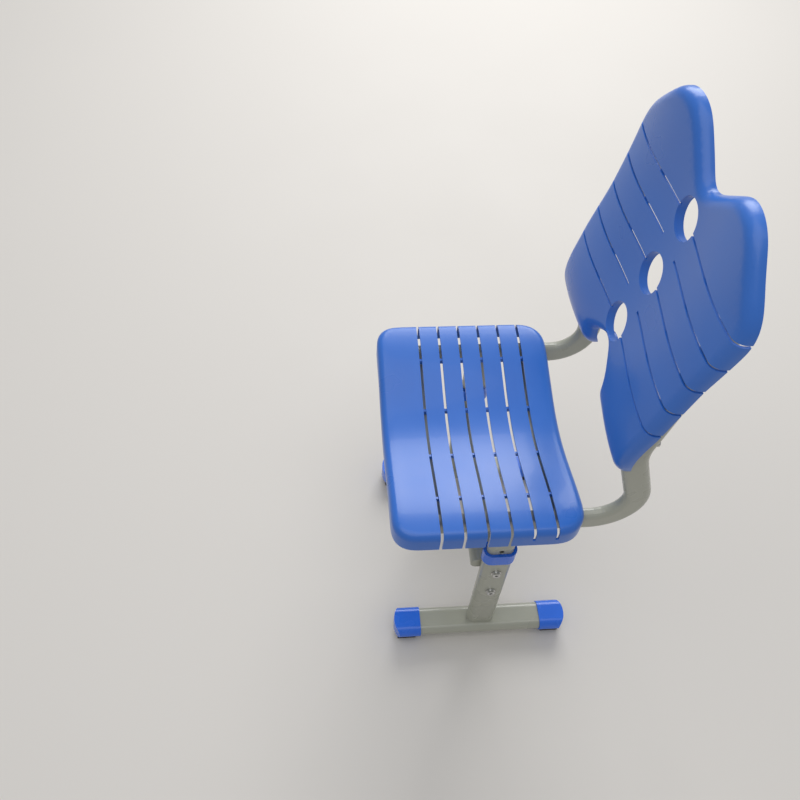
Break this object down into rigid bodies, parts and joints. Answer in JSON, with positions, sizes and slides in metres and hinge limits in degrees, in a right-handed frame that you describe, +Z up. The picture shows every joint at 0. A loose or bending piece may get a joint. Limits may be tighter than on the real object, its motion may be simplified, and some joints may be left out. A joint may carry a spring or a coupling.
{
  "type": "height-adjustable school chair",
  "caption": "School chair with slotted moulded seat and winged backrest on a flat-oval tube frame whose posts slide in two columns to set the seat height.",
  "frame": {"origin": "on the floor under the middle of the chair's box", "axes": "+Z up, the sitter faces -Y, +X is the sitter's left"},
  "size_m": [0.424, 0.3971, 0.966],
  "materials": {
    "shell_plastic": "satin moulded",
    "cap_plastic": "gloss moulded",
    "frame_coat": "semi-gloss powder coat",
    "bolt_chrome": "plated",
    "foot_rubber": "matt"
  },
  "bodies": {
    "base": {"left_foot_tube": "frame_coat", "right_foot_tube": "frame_coat", "left_front_cap": "cap_plastic", "left_rear_cap": "cap_plastic", "right_front_cap": "cap_plastic", "right_rear_cap": "cap_plastic", "foot_pads": "foot_rubber", "left_column": "frame_coat", "right_column": "frame_coat", "crossbar": "frame_coat", "left_collar": "cap_plastic", "right_collar": "cap_plastic", "left_height_bolts": "bolt_chrome", "right_height_bolts": "bolt_chrome", "bolt_inserts": "bolt_chrome"},
    "seat": {"left_post": "frame_coat", "right_post": "frame_coat", "post_glides": "foot_rubber", "left_rail": "frame_coat", "right_rail": "frame_coat", "rail_front_plugs": "foot_rubber", "upright_plugs": "foot_rubber", "front_cross_rail": "frame_coat", "rear_cross_rail": "frame_coat", "seat_shell": "shell_plastic", "seat_screws": "bolt_chrome", "backrest": "shell_plastic", "back_screws": "bolt_chrome"}
  },
  "joints": [
    {"name": "seat_height", "type": "slide", "parent": "base", "child": "seat", "axis": [0, 0, 1], "range_m": [-0.07, 0.035]}
  ]
}
